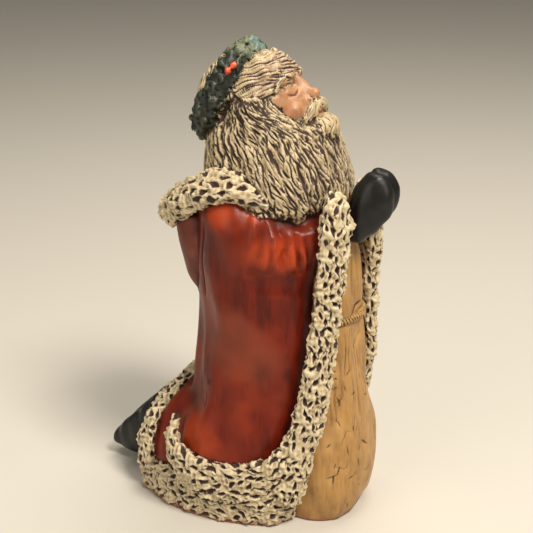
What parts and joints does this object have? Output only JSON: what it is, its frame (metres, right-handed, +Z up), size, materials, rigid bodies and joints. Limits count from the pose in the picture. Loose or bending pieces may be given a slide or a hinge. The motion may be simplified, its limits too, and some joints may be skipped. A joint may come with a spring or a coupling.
{
  "type": "figurine",
  "caption": "Kneeling bearded winter figure in a fur-trimmed red coat, head thrown back and mittened hands pressed together, modelled in painted fired clay",
  "frame": {"origin": "Middle of the figure's bounding box in plan, on the surface it stands on.", "axes": "+Z up. The figure looks towards -Y with its head thrown back, its boots point to +Y, and its right hand is on the -X side."},
  "size_m": [0.098, 0.1572, 0.2392],
  "materials": {
    "painted_clay": "hand-modelled fired clay, painted red, cream, tan and black with a dark wash left in the tool marks, satin"
  },
  "bodies": {
    "root": {"santa_figurine": "painted_clay"}
  },
  "joints": []
}
